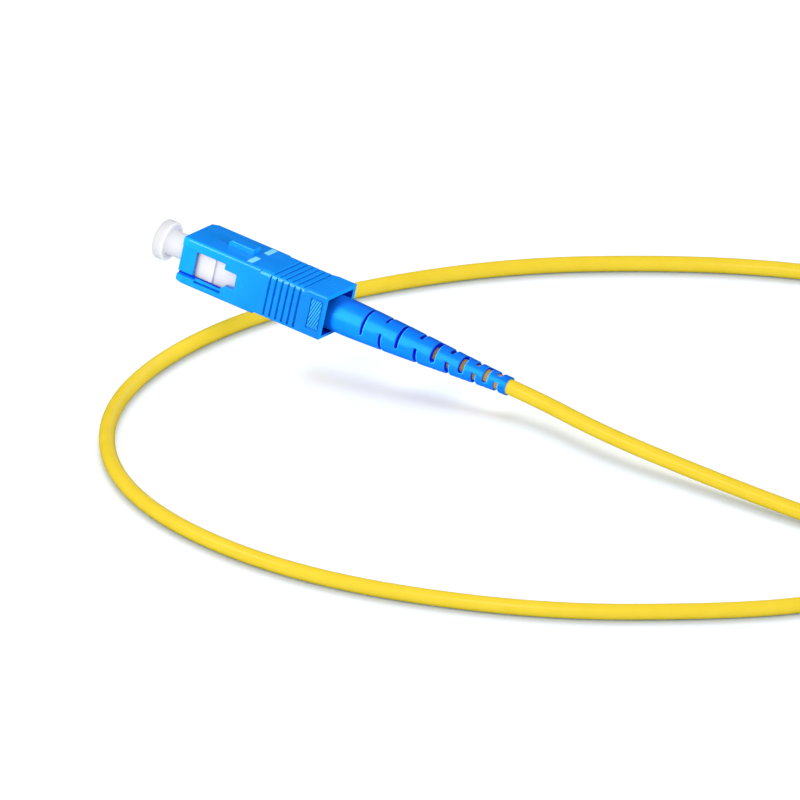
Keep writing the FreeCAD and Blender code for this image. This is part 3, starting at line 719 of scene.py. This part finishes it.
sun("back_main", 1.16, (1.0, 1.0, 1.0), [cable] + boots)
sun("back_cool", 0.77, (0.0, 0.4, 1.0), boots)
glint = Vector((-0.68, -0.48, 0.56)) * 0.3
for tag in "ab":    # both plugs, lit alike
    at_plug = lambda x, y, z: in_plug(x, y, z, tag)
    glint_at = lambda x, y, z: at_plug(x, y, z) + PLUG[tag].to_3x3() @ PLUG["a"].to_3x3().inverted() @ glint
    shells, boot, shell = (named("grip_shell", "index_marks", "pocket_ribs", tags=tag), named("bend_boot", tags=tag),
                           named("grip_shell", tags=tag))
    cap, body = named("cap", tags=tag), named("inner_body", tags=tag)
    # the grip
    area("grip_key_" + tag, at_plug(-4.0, -30.0, 9.0), at_plug(3.0, -4.5, 0.0), 0.012, 0.0166, only=shells, gloss=False)
    area("grip_rear_" + tag, at_plug(26.0, 2.0, 29.0), at_plug(24.0, 0.0, 3.7), 0.02, 0.0022, only=shells, gloss=False)
    area("grip_rim_" + tag, at_plug(100.0, -12.0, 28.0), at_plug(25.0, 0.0, 0.0), 0.03, 0.11, only=shells, gloss=False)
    # the boot
    area("boot_key_" + tag, at_plug(-10.0, -75.0, 8.0), at_plug(42.0, 0.0, 0.0), 0.03, 0.14, only=boot, gloss=False)
    # highlights along the rounded edges
    area("edge_glint_" + tag, glint_at(14.0, -4.5, 3.4), at_plug(14.0, -4.5, 3.4), 0.16, 1.8, only=shells,
         color=(0.45, 1.0, 1.0), diffuse=False)
    area("boot_glint_" + tag, glint_at(36.0, 0.0, 0.0), at_plug(36.0, 0.0, 0.0), 0.32, 10.0, only=boot,
         color=(0.10, 1.0, 1.0), diffuse=False)
    area("lip_key_" + tag, at_plug(-110.0, -12.0, 8.0), at_plug(43.0, 0.0, 0.0), 0.03, 0.70, only=boot, gloss=False, shaded_by=[])
    area("groove_key_" + tag, at_plug(-110.0, -6.0, 4.0), at_plug(18.0, 0.0, 0.0), 0.03, 0.22, only=shell, gloss=False, shaded_by=shell)
    # cap and inner body
    area("white_fill_" + tag, at_plug(-20.0, -150.0, 60.0), at_plug(3.0, 0.0, 0.0), 0.12, 0.115, only=body, color=(1.0, 0.97, 0.88))
    area("cap_fill_" + tag, at_plug(75.0, -22.0, 15.0), at_plug(-4.0, 0.0, 0.0), 0.02, 0.020, only=cap, color=(1.0, 0.98, 0.95),
         gloss=False, shaded_by=cap)
    area("stem_fill_" + tag, at_plug(0.5, -7.0, 4.0), at_plug(-1.5, -1.5, 0.5), 0.003, 0.00016, only=cap, color=(1.0, 0.98, 0.95),
         gloss=False)
# the cable
area("cable_left", (-0.50, -0.05, 0.33), (-0.06, 0.0, 0.0), 0.12, 0.35, only=[cable], shaded_by=[cable])
area("cable_soft", (-0.22, -0.45, 0.43), (-0.03, -0.02, 0.0), 0.12, 0.56, only=[cable], shaded_by=[cable])
area("cable_under", (Vector((-58.0, 30.0, 22.0)) + SHIFT) * MM, (Vector((-61.0, 40.0, 1.2)) + SHIFT) * MM, 0.012, 0.0018, only=[cable],
     color=(1.0, 0.9, 1.0), gloss=False, shaded_by=[cable])

# warm light under and beside the raised plug, so that the floor below it stays as bright as the rest
X, Y, Z = Vector((1, 0, 0)), Vector((0, 1, 0)), Vector((0, 0, 1))
for tag_name, mid, size, ends, share in (
        ("grip", (12.4, 0.0, 0.0), (25.7, 9.0, 7.4), ("front", "rear"), 0.94),
        ("boot", (33.5, 0.0, 0.0), (15.0, 4.8, 4.8), (), 1.0), ("boot_tip", (48.5, 0.0, 0.0), (15.0, 3.3, 3.3), (), 1.0)):
    lx, ly, lz = size
    for side, axes, off, sx, sy, glow in (
            ("under", (X, Y, Z), (0.0, 0.0, -lz / 2 - 0.08), lx, ly, (0.93, 0.79, 0.33)),
            ("near", (X, -Z, Y), (0.0, -ly / 2 - 0.08, 0.0), lx, lz, (0.92, 0.59, 0.0)),
            ("far", (X, Z, -Y), (0.0, ly / 2 + 0.08, 0.0), lx, lz, (0.93, 0.78, 0.28)),
            ("front", (Y, Z, X), (-lx / 2 - 0.08, 0.0, 0.0), ly, lz, (0.93, 0.78, 0.28)),
            ("rear", (Y, -Z, -X), (lx / 2 + 0.08, 0.0, 0.0), ly, lz, (0.70, 0.60, 0.25))):
        if side in ("front", "rear") and side not in ends:
            continue
        turn = Matrix(axes).transposed().to_4x4()
        at = Matrix.Translation((Vector(mid) + Vector(off)) * MM)
        peak = max(glow)
        area("floor_" + tag_name + "_" + side, None, PLUG["a"] @ at @ turn, sx * MM,
             share * peak * math.pi * sx * sy * MM * MM, only=[floor], size_y=sy * MM,
             color=tuple(g / peak for g in glow), gloss=False, shaded_by=[])

place = lambda x, y, z: (Vector((x, y, z)) + SHIFT) * MM
area("floor_lift", place(-47.8, 23.6, 9.0), place(-47.8, 23.6, 0.0), 0.004, 0.00012, only=[floor], color=(1.0, 0.9, 0.55), gloss=False, shaded_by=[])

scene.view_settings.view_transform = "Standard"
scene.view_settings.look = "None"

# ------------------------------------------------------------------ who rides what
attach(cable, "cable_assembly")
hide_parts("cable_jacket", "cable_coil", "cable_tail")
